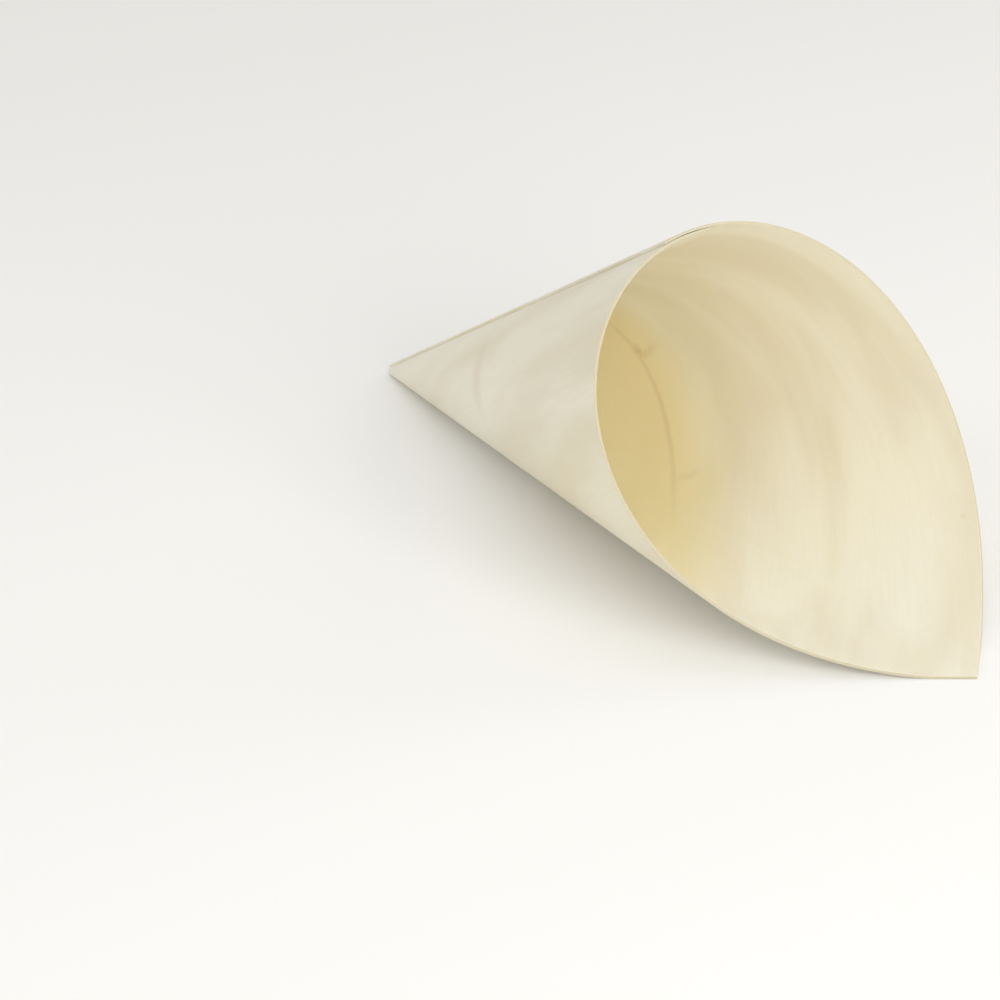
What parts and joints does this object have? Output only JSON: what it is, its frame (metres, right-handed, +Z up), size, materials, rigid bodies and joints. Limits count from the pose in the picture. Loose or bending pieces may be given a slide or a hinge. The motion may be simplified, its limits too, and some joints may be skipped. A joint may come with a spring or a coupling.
{
  "type": "wooden food cone",
  "caption": "Food cone rolled from one square sheet of pale poplar veneer, with a glued lap seam and a pointed lip at its open mouth.",
  "frame": {"origin": "on the table, under the middle of the whole cone's box, with the cone lying on its lip's side", "axes": "+X along the line that touches the table, from the tip to the pointed lip; +Z up; the glued seam runs along the top"},
  "size_m": [0.1816, 0.068, 0.0603],
  "materials": {
    "poplar_veneer": "matt rotary-cut poplar veneer, unvarnished, faint straight grain"
  },
  "bodies": {
    "root": {"rolled_veneer": "poplar_veneer"}
  },
  "joints": []
}
